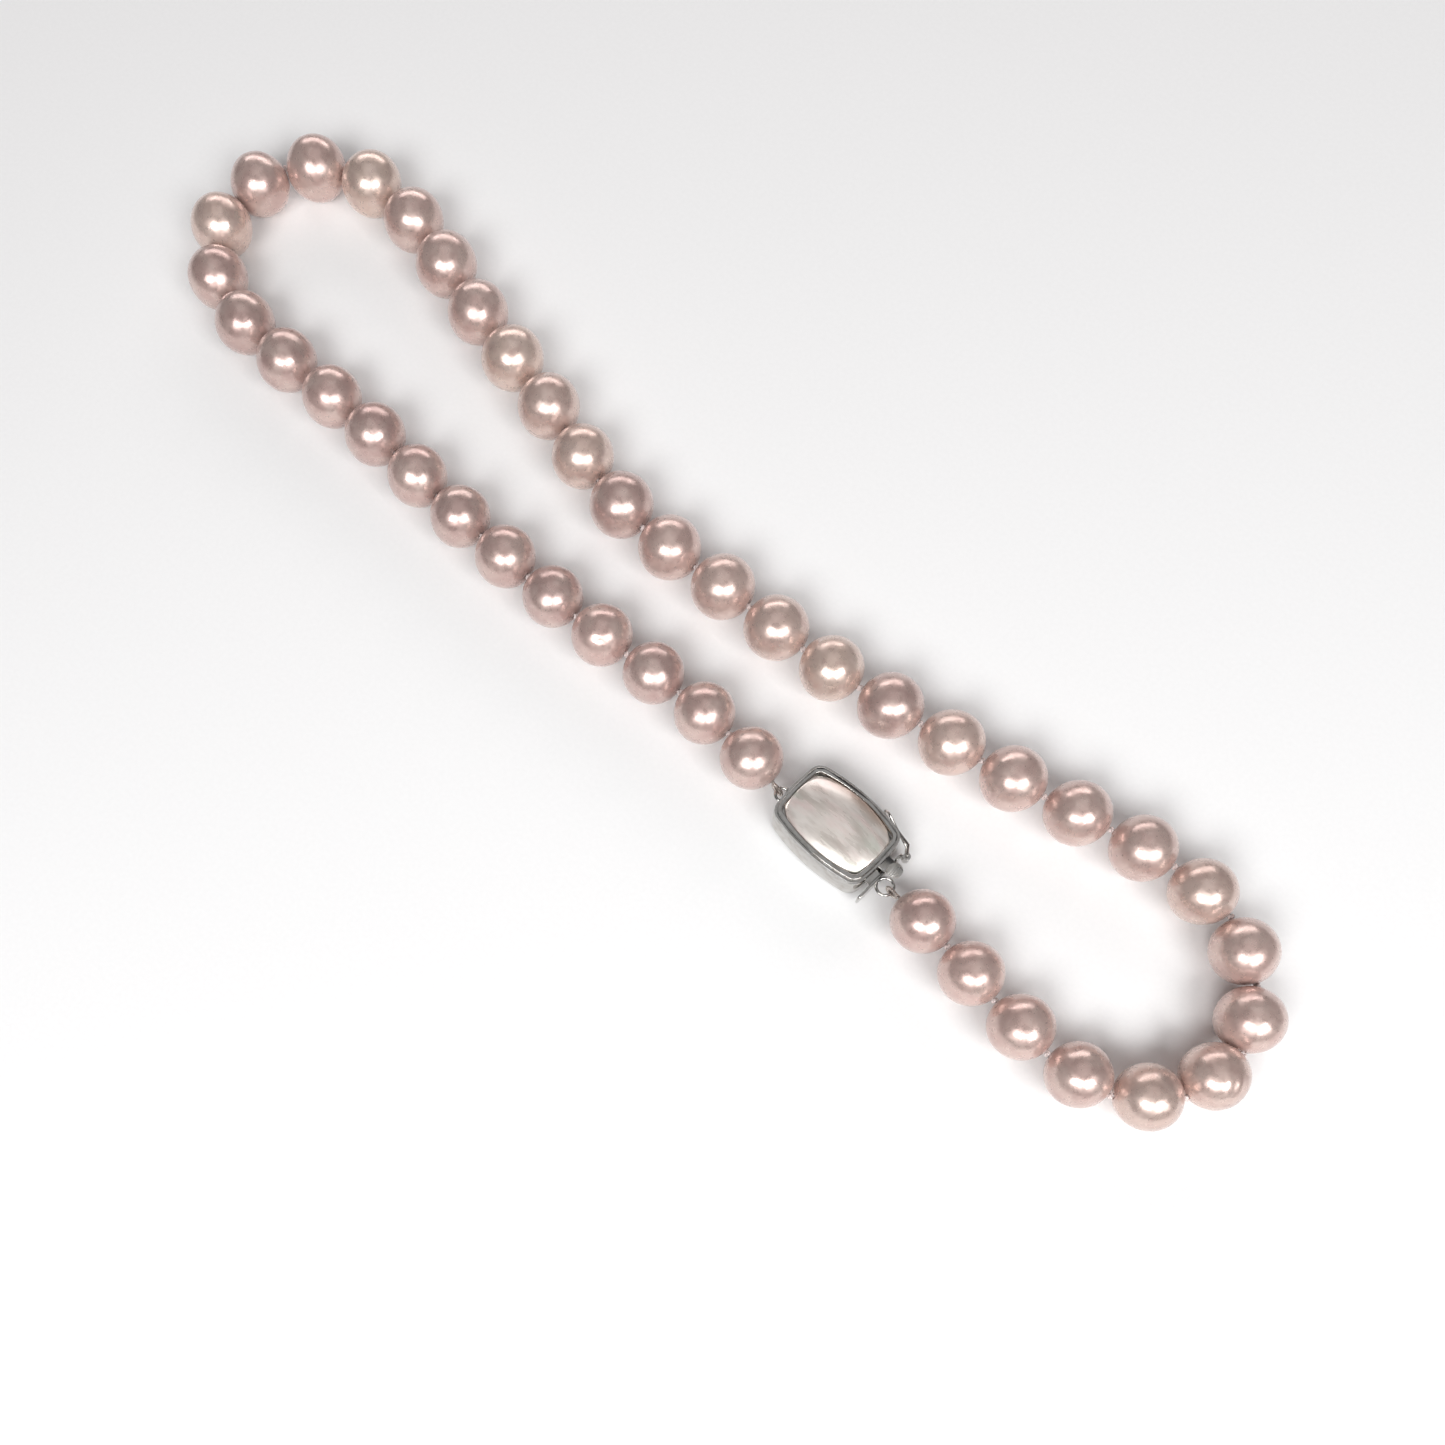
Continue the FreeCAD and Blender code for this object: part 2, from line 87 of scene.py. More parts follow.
BODY_OF = {}
for body, nodes in frame["record"]["behaviour"]["bodies"].items():
    for node in nodes:
        BODY_OF[node] = body

print("frame size in mm:", [round(side / MM, 1) for side in cad_box[1] - cad_box[0]])

# %% [markdown]
# ## The camera
# The viewer stands over the near side of the necklace and looks almost straight down, with the strand
# running from upper left to lower right. A camera has a place, a turn and a lens. The frame is a crop
# of a wider view, and the lens shift gives that crop without tilting the camera.

# %% Camera
CAMERA_PLACE = Vector((24.31, -55.18, 173.04)) * MM
CAMERA_TURN = (12.373, 2.912, 44.859)  # degrees about x, y and z
LENS = 32.17

camera_data = bpy.data.cameras.new("camera")
camera_data.lens = LENS
camera_data.sensor_width = 36.0
camera_data.shift_x = 0.0754
camera_data.shift_y = 0.1691
camera_data.clip_start = 0.01
camera = bpy.data.objects.new("camera", camera_data)
camera.location = CAMERA_PLACE
camera.rotation_euler = [math.radians(angle) for angle in CAMERA_TURN]
bpy.context.collection.objects.link(camera)
bpy.context.scene.camera = camera
bpy.context.view_layer.update()
VIEW_RIGHT, VIEW_UP, VIEW_BACK = (Vector(camera.matrix_world.col[i][:3]) for i in range(3))
print("camera looks down at", round(math.degrees(math.asin(VIEW_BACK.z)), 1), "degrees")

# %% [markdown]
# ## Light and floor
# Pearls are mirrors with a satin skin, so what they show is the lights. A wide pair of soft boxes in
# front of the viewer gives each pearl its two-lobed highlight just below the middle. A long dim panel
# on the far side gives the second, softer glow near the top. The surroundings stay dim, because dark
# reflections are what make silver look like metal and give pearls their deeper edges.

# %% World, soft boxes and floor
STRAND_MIDDLE = (cad_box[0] + cad_box[1]) / 2


def soft_box(name, direction, distance, size, power, tint=(1.0, 1.0, 1.0)):
    """A rectangular light that faces the middle of the necklace."""
    data = bpy.data.lights.new(name, "AREA")
    data.shape = "RECTANGLE"
    data.size, data.size_y = size
    data.energy = power
    data.color = tint
    lamp = bpy.data.objects.new(name, data)
    toward = Vector(direction).normalized()
    lamp.location = STRAND_MIDDLE + toward * distance
    lamp.rotation_euler = toward.to_track_quat("Z", "Y").to_euler()
    bpy.context.collection.objects.link(lamp)
    return lamp


world = bpy.data.worlds.new("studio")
world.use_nodes = True
world.node_tree.nodes["Background"].inputs["Color"].default_value = (0.93, 0.95, 1.0, 1)
world.node_tree.nodes["Background"].inputs["Strength"].default_value = 0.05
bpy.context.scene.world = world
bpy.context.scene.view_settings.view_transform = "Standard"

FRONT = Vector((0.50, -0.45, 0.74)).normalized()
BOX_SPREAD = 0.36  # how far each front box stands to the side, as a share of its distance
for label, offset in (("left", -BOX_SPREAD), ("right", BOX_SPREAD)):
    soft_box(f"front_box_{label}", FRONT + VIEW_RIGHT * offset, 0.75, (0.44, 0.30), 3.4)
soft_box("far_panel", (-0.68, 0.70, 0.42), 0.95, (1.1, 0.30), 3.2, (1.0, 0.93, 0.92))
soft_box("overhead", (-0.1, 0.15, 1.0), 1.25, (0.9, 0.9), 1.0)


# %% [markdown]
# ## Material helpers
# Every finish here is a small network of nodes around one shader. Five helpers keep the networks short.
# They start a material, add a patch of noise measured in millimetres, stretch a range of values, lay
# one colour over another, and turn a value into a bump.

# %% Material helpers
def start_material(name):
    """A new material, its node tree and its main shader."""
    material = bpy.data.materials.new(name)
    material.use_nodes = True
    tree = material.node_tree
    return material, tree, tree.nodes["Principled BSDF"]


def noise_patch(tree, size_mm, detail=2.0, rough=0.5, stretch=None):
    """Noise whose blotches are about size_mm across, read from the object's own coordinates."""
    place = tree.nodes.new("ShaderNodeTexCoord").outputs["Object"]
    if stretch is not None:
        mapping = tree.nodes.new("ShaderNodeMapping")
        mapping.inputs["Rotation"].default_value = stretch[0]
        mapping.inputs["Scale"].default_value = stretch[1]
        tree.links.new(place, mapping.inputs["Vector"])
        place = mapping.outputs["Vector"]
    patch = tree.nodes.new("ShaderNodeTexNoise")
    patch.inputs["Scale"].default_value = 1.0 / (size_mm * MM)
    patch.inputs["Detail"].default_value = detail
    patch.inputs["Roughness"].default_value = rough
    tree.links.new(place, patch.inputs["Vector"])
    return patch.outputs["Fac"]


def remap(tree, value, low, high, new_low, new_high):
    """The value's low to high range, stretched to another range."""
    node = tree.nodes.new("ShaderNodeMapRange")
    numbers = (low, high, new_low, new_high)
    for socket, number in zip(("From Min", "From Max", "To Min", "To Max"), numbers):
        node.inputs[socket].default_value = number
    tree.links.new(value, node.inputs["Value"])
    return node.outputs["Result"]


def blend_colour(tree, factor, first, second, mode="MIX"):
    """One colour laid over another. Either may be a colour or the output of a node."""
    node = tree.nodes.new("ShaderNodeMix")
    node.data_type = "RGBA"
    node.blend_type = mode
    for socket, given in ((node.inputs[0], factor), (node.inputs[6], first), (node.inputs[7], second)):
        if hasattr(given, "links"):
            tree.links.new(given, socket)
        elif isinstance(given, float):
            socket.default_value = given
        else:
            socket.default_value = (*given, 1.0)
    return node.outputs[2]


def add_bump(tree, height, depth_mm, strength, under=None):
    """A bump of a given depth, laid over an earlier one."""
    node = tree.nodes.new("ShaderNodeBump")
    node.inputs["Distance"].default_value = depth_mm * MM
    node.inputs["Strength"].default_value = strength
    tree.links.new(height, node.inputs["Height"])
    if under is not None:
        tree.links.new(under, node.inputs["Normal"])
    return node.outputs["Normal"]


# %% [markdown]
# ## Nacre
# Nacre is hundreds of clear layers over a coloured core. Light comes back from the top as a clean gloss
# and from the layers below as a soft metallic glow in the pearl's own colour. The shader follows that:
# a half-metallic satin base in a colour that each pearl carries itself, and a clear coat over it.
# Cloudy patches, a fine satin grain and shallow growth ripples break the highlight's edge.

# %% Nacre material
def nacre_material(name):
    material, tree, shader = start_material(name)
    own = tree.nodes.new("ShaderNodeAttribute")
    own.attribute_name = "body_colour"
    clouds = remap(tree, noise_patch(tree, 3.2, 3.0), 0.38, 0.66, 0.0, 0.55)
    colour = blend_colour(tree, clouds, own.outputs["Color"], (0.74, 0.59, 0.53))
    blush = remap(tree, noise_patch(tree, 1.7, 2.0), 0.50, 0.72, 0.0, 0.42)
    colour = blend_colour(tree, blush, colour, (0.46, 0.29, 0.265))
    grain = noise_patch(tree, 0.16, 2.0, 0.7)
    colour = blend_colour(tree, remap(tree, grain, 0.35, 0.65, 0.0, 0.16), colour, (0.76, 0.64, 0.58))
    tree.links.new(colour, shader.inputs["Base Color"])
    shader.inputs["Metallic"].default_value = 0.50
    shader.inputs["IOR"].default_value = 1.60
    shader.inputs["Coat Weight"].default_value = 0.55
    shader.inputs["Coat Roughness"].default_value = 0.22
    shader.inputs["Coat IOR"].default_value = 1.55
    shader.inputs["Sheen Weight"].default_value = 0.08
    satin = remap(tree, noise_patch(tree, 0.9, 2.0), 0.35, 0.65, 0.25, 0.36)
    tree.links.new(satin, shader.inputs["Roughness"])
    ripple = add_bump(tree, noise_patch(tree, 1.5, 2.0), 0.10, 0.55)
    normal = add_bump(tree, grain, 0.008, 0.20, ripple)
    tree.links.new(normal, shader.inputs["Normal"])
    tree.links.new(ripple, shader.inputs["Coat Normal"])
    return material


NACRE = nacre_material("nacre")
print("made", NACRE.name)

# %% [markdown]
# ## Silver, bright and brushed
# The clasp is polished white metal. Polishing never leaves a perfect mirror: there is a faint haze,
# hairline scratches and a little warm tarnish, here in loose random patches. The thumb tab is brushed,
# with the scratches all one way. The end coils are finer, duller wire.

# %% Metal materials
def metal_material(name, bright, dull, roughness, scratch_mm, scratch_depth):
    material, tree, shader = start_material(name)
    haze = noise_patch(tree, 1.3, 4.0, 0.6)
    colour = blend_colour(tree, remap(tree, haze, 0.45, 0.75, 0.0, 0.7), bright, dull)
    tree.links.new(colour, shader.inputs["Base Color"])
    shader.inputs["Metallic"].default_value = 1.0
    tree.links.new(remap(tree, haze, 0.3, 0.7, *roughness), shader.inputs["Roughness"])
    hairlines = noise_patch(tree, scratch_mm, 2.0, 0.6, ((0, 0, 0.5), (0.12, 1.0, 1.0)))
    tree.links.new(add_bump(tree, hairlines, scratch_depth, 0.5), shader.inputs["Normal"])
    return material


SILVER = metal_material("silver", (0.60, 0.585, 0.565), (0.38, 0.34, 0.30), (0.07, 0.18), 0.12, 0.004)
BRUSHED = metal_material("brushed_silver", (0.80, 0.78, 0.75), (0.55, 0.50, 0.45), (0.26, 0.38), 0.05, 0.02)
COIL_WIRE = metal_material("gimp_wire", (0.62, 0.56, 0.52), (0.30, 0.25, 0.22), (0.18, 0.34), 0.08, 0.01)
print("made", SILVER.name, BRUSHED.name, COIL_WIRE.name)


# %% [markdown]
# ## Mother-of-pearl
# The stone is cut from a shell, so it shows the shell's layers as long slanting streaks, and it is browner
# towards one edge. Thin layers split light, so pale green and pink drift through the grey.

# %% Mother-of-pearl material
STREAK_TURN = math.radians(-38)


def shell_material(name):
    material, tree, shader = start_material(name)
    slant = ((0, 0, STREAK_TURN), (0.22, 1.0, 1.0))
    broad = noise_patch(tree, 1.6, 3.0, 0.55, slant)
    fine = noise_patch(tree, 0.35, 3.0, 0.6, slant)
    layers = remap(tree, broad, 0.35, 0.65, 0.0, 1.0)
    colour = blend_colour(tree, layers, (0.60, 0.54, 0.49), (0.86, 0.80, 0.75))
    green = remap(tree, noise_patch(tree, 2.6, 2.0, 0.5, slant), 0.52, 0.70, 0.0, 0.40)
    colour = blend_colour(tree, green, colour, (0.66, 0.78, 0.66))
    crossing = ((0, 0, STREAK_TURN + 0.3), (0.3, 1.0, 1.0))
    pink = remap(tree, noise_patch(tree, 2.1, 2.0, 0.5, crossing), 0.52, 0.70, 0.0, 0.45)
    colour = blend_colour(tree, pink, colour, (0.90, 0.68, 0.66))
    colour = blend_colour(tree, remap(tree, fine, 0.58, 0.75, 0.0, 0.35), colour, (0.50, 0.42, 0.36))
    split = tree.nodes.new("ShaderNodeSeparateXYZ")
    place = tree.nodes.new("ShaderNodeTexCoord")
    tree.links.new(place.outputs["Object"], split.inputs["Vector"])
    # Brown laid over the stone by position alone: none below 3.0 mm in y, three quarters from 4.4 mm on.
    edge_brown = remap(tree, split.outputs["Y"], 3.0 * MM, 4.4 * MM, 0.0, 0.75)
    colour = blend_colour(tree, edge_brown, colour, (0.46, 0.32, 0.25))
    tree.links.new(colour, shader.inputs["Base Color"])
    shader.inputs["Metallic"].default_value = 0.35
    shader.inputs["IOR"].default_value = 1.58
    shader.inputs["Coat Weight"].default_value = 0.8
    shader.inputs["Coat Roughness"].default_value = 0.08
    tree.links.new(remap(tree, broad, 0.3, 0.7, 0.22, 0.36), shader.inputs["Roughness"])
    ripple = add_bump(tree, broad, 0.05, 0.35)
    tree.links.new(add_bump(tree, fine, 0.02, 0.4, ripple), shader.inputs["Normal"])
    return material


SHELL = shell_material("mother_of_pearl")


# %% [markdown]
# ## Silk and floor
# Pearl silk is a twisted thread, so it has a soft sheen and a faint slanting rib. The floor is
# plain pale card with only a trace of tooth.

# %% Silk and floor materials
def silk_material(name):
    material, tree, shader = start_material(name)
    rib = noise_patch(tree, 0.10, 2.0, 0.6, ((0, 0, 0.8), (0.35, 1.0, 1.0)))
    twist = remap(tree, rib, 0.4, 0.62, 0.0, 1.0)
    colour = blend_colour(tree, twist, (0.80, 0.66, 0.63), (0.96, 0.88, 0.86))
    tree.links.new(colour, shader.inputs["Base Color"])
    shader.inputs["Roughness"].default_value = 0.62
    shader.inputs["Sheen Weight"].default_value = 0.45
    shader.inputs["Sheen Roughness"].default_value = 0.4
    tree.links.new(add_bump(tree, rib, 0.04, 0.7), shader.inputs["Normal"])
    return material


def card_material(name):
    material, tree, shader = start_material(name)
    tooth = noise_patch(tree, 0.6, 3.0)
    fibres = remap(tree, tooth, 0.3, 0.7, 0.0, 1.0)
    colour = blend_colour(tree, fibres, (0.92, 0.92, 0.92), (0.94, 0.94, 0.94))
    tree.links.new(colour, shader.inputs["Base Color"])
    shader.inputs["Roughness"].default_value = 0.85
    shader.inputs["Specular IOR Level"].default_value = 0.1
    return material


SILK = silk_material("silk")
CARD = card_material("floor_card")
bpy.ops.mesh.primitive_plane_add(size=6.0, location=(0, 0, -0.0001))
floor = bpy.context.active_object
floor.name = "floor"
floor.data.materials.append(CARD)
print("made", SHELL.name, SILK.name, "and a floor")

# %% [markdown]
# ## One drilled pearl
# A pearl is nearly round, but it is drilled, and the drill's mouth is a small crisp crater. The model
# starts as a ball whose poles lie on the drill line. The polar caps come off, the two openings are
# bridged into a tunnel, and the mouths get a narrow bevel. Every pearl on the strand is a copy of it.

# %% Model the pearl
HOLE_REACH_SQUARED = 0.0095  # points nearer the drill line than this share of the radius, squared
DRILL_STEPS = 36  # a ring of the ball each 5 degrees, so that one ring spans the drill's mouth


def edit_faces(obj, test):
    """Enter edit mode with only the faces whose centres pass the test selected."""
    bpy.ops.object.mode_set(mode="EDIT")
    bpy.ops.mesh.select_mode(type="FACE")
    bpy.ops.mesh.select_all(action="DESELECT")
    shape = bmesh.from_edit_mesh(obj.data)
    for face in shape.faces:
        face.select_set(bool(test(face.calc_center_median())))
    bmesh.update_edit_mesh(obj.data)


def edit_edges(obj, test):
    """Enter edit mode with only the edges whose two ends pass the test selected."""
    bpy.ops.object.mode_set(mode="EDIT")
    bpy.ops.mesh.select_mode(type="EDGE")
    bpy.ops.mesh.select_all(action="DESELECT")
    shape = bmesh.from_edit_mesh(obj.data)
    for edge in shape.edges:
        edge.select_set(all(test(v.co) for v in edge.verts))
    bmesh.update_edit_mesh(obj.data)


bpy.ops.mesh.primitive_uv_sphere_add(
    segments=96, ring_count=DRILL_STEPS, radius=1.0, rotation=(0, math.pi / 2, 0)
)
pearl_pattern = bpy.context.active_object
pearl_pattern.name = "pearl_pattern"
bpy.ops.object.transform_apply(location=False, rotation=True, scale=True)
step = math.radians(180 / DRILL_STEPS)
edit_faces(pearl_pattern, lambda c: abs(c.x) > math.cos(step))
bpy.ops.mesh.delete(type="FACE")
edit_edges(pearl_pattern, lambda p: abs(p.x) > math.cos(step * 1.2))
bpy.ops.mesh.bridge_edge_loops()
edit_edges(pearl_pattern, lambda p: abs(abs(p.x) - math.cos(step)) < 0.0005)
bpy.ops.mesh.bevel(offset=0.012, segments=3, affect="EDGES")
bpy.ops.object.mode_set(mode="OBJECT")
bpy.ops.object.shade_smooth_by_angle(angle=math.radians(50))
print("pearl pattern:", len(pearl_pattern.data.polygons), "faces")

# %% [markdown]
# ## Where each pearl goes
# The frame's box round a pearl gives its centre and its two half-sizes. Walking from the clasp's ring,
# each drill line points from the knot before the pearl to its centre, and leads on to the next knot.
# Colour drifts along the strand: one row is mauver, the other paler and more cream, with small steps
# from pearl to pearl because no two come out of the water alike.

# %% Places and colours
PEARLS = 42
ROSE, MAUVE, CREAM = (0.64, 0.45, 0.405), (0.49, 0.325, 0.30), (0.73, 0.56, 0.475)
MAUVE_SHARE = {1: 0.35, 2: 0.45, 3: 0.95, 4: 0.4, 5: 0.9, 6: 0.5, 7: 0.75, 8: 0.6, 9: 1.0, 10: 0.6,
               11: 0.8, 12: 0.75, 13: 0.5, 15: 0.55, 19: 0.3, 20: 0.35, 24: 0.6, 29: 0.55, 42: 0.6}
CREAM_SHARE = {14: 0.6, 17: 0.9, 21: 0.8, 22: 0.3, 23: 0.6, 26: 0.2, 27: 0.4, 28: 0.8, 30: 0.4, 34: 0.5,
               37: 0.3, 38: 0.5}
KNOT_GAP = 0.663 * MM  # from pearl to pearl
hinge_at = {}
for joint in frame["record"]["behaviour"]["joints"]:
    if joint["name"].startswith("knot_"):
        hinge_at[int(joint["name"].split("_")[1])] = Vector(joint["pos_m"])
    if joint["name"].startswith("ring_to"):
        hinge_at[0] = Vector(joint["pos_m"])


def pearl_name(number):
    return f"pearl_{number:02d}"


def walk_strand():
    """Each pearl's centre, drill direction, half-length and half-thickness, and the knot after it."""
    seats, knots = {}, {0: hinge_at[0]}
    for number in range(1, PEARLS + 1):
        low, high, centre = box_of(pearl_name(number))
        half = (high - low) / 2
        toward = centre - knots[number - 1]
        toward.z = 0
        toward.normalize()
        half_length = math.sqrt(half.x**2 + half.y**2 - half.z**2)
        seats[number] = (centre, toward, half_length, half.z)
        knots[number] = hinge_at.get(number, centre + toward * (half_length + KNOT_GAP / 2))
    return seats, knots


SEATS, KNOTS = walk_strand()


def body_colour(number):
    """Rose, drawn towards mauve or cream, with a small lightness step of its own."""
    colour = Vector(ROSE).lerp(Vector(MAUVE), MAUVE_SHARE.get(number, 0.12))
    colour = colour.lerp(Vector(CREAM), CREAM_SHARE.get(number, 0.0))
    return colour * (1 + 0.03 * math.sin(5.1 * number))


print("pearl 1 sits at", [round(c / MM, 2) for c in SEATS[1][0]], "mm")

# %% [markdown]
# ## Marks that pearls have
# Natural skins have pits, dimples, wrinkles and ridges. A mark is placed by how far it lies to the
# right of and above the pearl's middle as the viewer sees it, in shares of the radius.

# %% Marks
PIT, DIMPLE, RIDGES, WRINKLE = "pit", "dimple", "ridges", "wrinkle"
MARKS = {
    2: [(WRINKLE, 0.12, 0.05, 0.30, 0.05)],
    3: [(WRINKLE, -0.12, 0.0, 0.30, 0.07)],
    4: [(PIT, -0.05, -0.42, 0.10, 0.16)],
    12: [(DIMPLE, -0.25, -0.20, 0.16, 0.06)],
    14: [(RIDGES, 0.20, 0.15, 0.55, 0.05)],
    20: [(PIT, 0.14, -0.22, 0.10, 0.18)],
    28: [(WRINKLE, 0.0, -0.05, 0.28, 0.03)],
    33: [(DIMPLE, 0.0, 0.28, 0.14, 0.05)],
    35: [(DIMPLE, 0.05, -0.60, 0.10, -0.05)],
    37: [(RIDGES, 0.25, -0.20, 0.70, 0.06)],
    40: [(PIT, 0.42, 0.42, 0.09, 0.10)],
    42: [(DIMPLE, -0.05, 0.30, 0.16, 0.03)],
}


def mark_push(kind, across, along, size, depth):
    """How far a point moves inwards, in millimetres, from its place on the mark in shares of its size."""
    reach = math.hypot(across, along)
    if reach > 1:
        return 0.0
    fade = (1 - reach**2) ** 2
    if kind == RIDGES:
        return depth * fade * math.sin(across * 11)
    if kind == WRINKLE:
        return depth * fade * math.sin(across * 9 + 2.5 * math.sin(along * 5))
    return depth * fade


# %% [markdown]
# ## Lay out the pearls
# Each copy is stretched to its own half-sizes, given slow lumps by a noise that differs from place to
# place, marked, and then set down with its drill line along the strand. The placing is done in the
# mesh itself, so the object stays at the origin and patterns in the nacre stay put.

# %% Make the forty-two pearls
LUMP_SIZE = 5.0 * MM
LUMP_DEPTH = 0.10 * MM
SMALL_LUMP_SIZE = 1.9 * MM
SMALL_LUMP_DEPTH = 0.022 * MM


def make_pearl(number):
    centre, toward, half_length, half_thick = SEATS[number]
    data = pearl_pattern.data.copy()
    turn = Matrix((toward, Vector((0, 0, 1)).cross(toward), Vector((0, 0, 1)))).transposed()
    marks = []
    for kind, right, up, size, depth in MARKS.get(number, []):
        outward = VIEW_RIGHT * right + VIEW_UP * up + VIEW_BACK * math.sqrt(1 - right**2 - up**2)
        marks.append((kind, outward, outward.cross(VIEW_UP).normalized(), size, depth))
    for vertex in data.vertices:
        unit = vertex.co.copy()
        hole = unit.y**2 + unit.z**2 < HOLE_REACH_SQUARED
        point = turn @ Vector((unit.x * half_length, unit.y * half_thick, unit.z * half_thick))
        if not hole:
            outward = (turn @ unit).normalized()
            where = centre + point
            push = LUMP_DEPTH * noise.noise(where / LUMP_SIZE)
            push += SMALL_LUMP_DEPTH * noise.noise(where / SMALL_LUMP_SIZE)
            for kind, middle, side, size, depth in marks:
                if outward.dot(middle) > 0:
                    offset = outward - middle * outward.dot(middle)
                    across = offset.dot(side) / size
                    along = offset.dot(middle.cross(side)) / size
                    push -= mark_push(kind, across, along, size, depth) * MM
            point += outward * push
        vertex.co = centre + point
    colour = data.attributes.new("body_colour", "FLOAT_COLOR", "POINT")
    colour.data.foreach_set("color", list((*body_colour(number), 1.0)) * len(data.vertices))
    data.materials.clear()
    data.materials.append(NACRE)
    pearl = bpy.data.objects.new(f"drilled_{pearl_name(number)}", data)
    bpy.context.collection.objects.link(pearl)
    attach(pearl, BODY_OF[pearl_name(number)])
    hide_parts(pearl_name(number))
    return pearl


pearls = [make_pearl(number) for number in range(1, PEARLS + 1)]
bpy.data.objects.remove(pearl_pattern)
print("made", len(pearls), "pearls")

# %% [markdown]
# ## The silk and its knots
# A pearl strand is threaded on doubled silk, with an overhand knot pulled tight after every pearl, so
# that pearls don't rub and only one is lost if the thread breaks. Two plies wind round each other along
# the drill line, and a small knot of the same thread sits in each gap. Where the frame bends between two
# pearls, the thread stays where it was made and rides with neither pearl. Elsewhere it rides with its
# pearls.

# %% Silk thread and knots
PLY_RADIUS = 0.125 * MM
PLY_OFFSET = 0.105 * MM
PLY_PITCH = 1.1 * MM
PLY_STEP = 0.13 * MM
KNOT_THREAD = 0.145 * MM
KNOT_WIDE = 0.125 * MM
KNOT_LONG = 0.165 * MM
KNOT_POINTS = 72
KNOT_TURN = 1.17  # radians from one knot to the next, so that no two lie alike
END_DEPTH = 0.6 * MM
UP = Vector((0, 0, 1))


def wire_mesh(name, lines, radius, closed=()):
    """Round wires along lines of points, as one smooth mesh."""
    data = bpy.data.curves.new(name, "CURVE")
    data.dimensions = "3D"
    data.bevel_depth = radius
    data.bevel_resolution = 2
    data.use_fill_caps = True
    for index, line in enumerate(lines):
        spline = data.splines.new("POLY")
        spline.points.add(len(line) - 1)
        for point, place in zip(spline.points, line):
            point.co = (*place, 1)
        spline.use_cyclic_u = index in closed
    curve = bpy.data.objects.new(name, data)
    bpy.context.collection.objects.link(curve)
    bpy.context.view_layer.update()
    graph = bpy.context.evaluated_depsgraph_get()
    mesh = bpy.data.meshes.new_from_object(curve.evaluated_get(graph))
    bpy.data.objects.remove(curve)
    mesh.name = name
    mesh.shade_smooth()
    return mesh


def add_piece(name, mesh, material, nodes, body=None):
    """Put a mesh in the scene, give it its finish, and let it ride and stand for its frame parts."""
    mesh.materials.clear()
    mesh.materials.append(material)
    piece = bpy.data.objects.new(name, mesh)
    bpy.context.collection.objects.link(piece)
    if body is not None:
        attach(piece, body)
    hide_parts(*nodes)
    return piece


def ply(start, middle, end, phase):
    """A thread that winds round the line from start through middle to end."""
    points, travelled = [], 0.0
    for first, second in ((start, middle), (middle, end)):
        run = second - first
        along = run.normalized()
        side = UP.cross(along).normalized()
        steps = int(run.length / PLY_STEP)
        for i in range(steps):
            share = i / steps
            turn = 2 * math.pi * (travelled + run.length * share) / PLY_PITCH + phase
            away = side * math.cos(turn) + along.cross(side) * math.sin(turn)
            points.append(first + run * share + away * PLY_OFFSET)
        travelled += run.length
    return points


def overhand(middle, along, roll):
    """The closed line of a small overhand knot, whose thread goes over and under itself three times."""
    side = UP.cross(along).normalized()
    lift = along.cross(side)
    points = []
    for i in range(KNOT_POINTS):
        t = 2 * math.pi * i / KNOT_POINTS
        across = math.sin(t) + 2 * math.sin(2 * t)
        upward = math.cos(t) - 2 * math.cos(2 * t)
        wide = across * math.cos(roll) - upward * math.sin(roll)
        tall = across * math.sin(roll) + upward * math.cos(roll)
        offset = side * wide * KNOT_WIDE + lift * tall * KNOT_WIDE - along * math.sin(3 * t) * KNOT_LONG
        points.append(middle + offset)
    return points


def make_thread(number):
    """The silk from the middle of one pearl to the middle of the next, with the knot between them."""
    centre, toward, half_length, _ = SEATS[number]
    following, onward, _, _ = SEATS[number + 1]
    knot = KNOTS[number].copy()
    knot.z = (centre.z + following.z) / 2
    start = centre - toward * (half_length - END_DEPTH) if number == 1 else centre
    end = following
    if number + 1 == PEARLS:
        end = following + onward * (SEATS[PEARLS][2] - END_DEPTH)
    lines = [ply(start, knot, end, 0.0), ply(start, knot, end, math.pi)]
    along = (onward + toward).normalized()
    plies = wire_mesh(f"plies_{number:02d}", lines, PLY_RADIUS)
    loop = overhand(knot, along, KNOT_TURN * number)
    tied = wire_mesh(f"tied_{number:02d}", [loop], KNOT_THREAD, closed=(0,))
    both = bmesh.new()
    both.from_mesh(plies)
    both.from_mesh(tied)
    mesh = bpy.data.meshes.new(f"silk_knot_{number:02d}")
    both.to_mesh(mesh)
    both.free()
    mesh.shade_smooth()
    before, after = BODY_OF[pearl_name(number)], BODY_OF[pearl_name(number + 1)]
    ridden = before if before == after else None
    thread = add_piece(mesh.name, mesh, SILK, ["silk_cord"], ridden)
    if before != after:
        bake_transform(thread)
    return thread


threads = [make_thread(number) for number in range(1, PEARLS)]
print("made", len(threads), "lengths of knotted silk")

# %% [markdown]
# ## The coils at the ends
# Where the thread goes round the clasp's rings it would soon wear through, so it runs inside a tiny
# coil of fine wire. The coil follows one line: once round a small upright loop, then down the tail
# into the last pearl. A point that circles that line as it moves along draws the winding wire.

# %% End coils
COIL_WIRE_RADIUS = 0.048 * MM
COIL_RADIUS = 0.20 * MM
COIL_PITCH = 0.115 * MM
COIL_STEPS = 10  # points in each turn of the wire
LOOP_STEPS = 180  # short runs in the line round the loop
LOOP_RADIUS = 0.85 * MM
COIL_OUTSIDE = 0.25 * MM
TAIL_SLOPE = math.radians(50)
TAIL_DEPTH = 0.5 * MM
RING_WIRE = 0.22 * MM


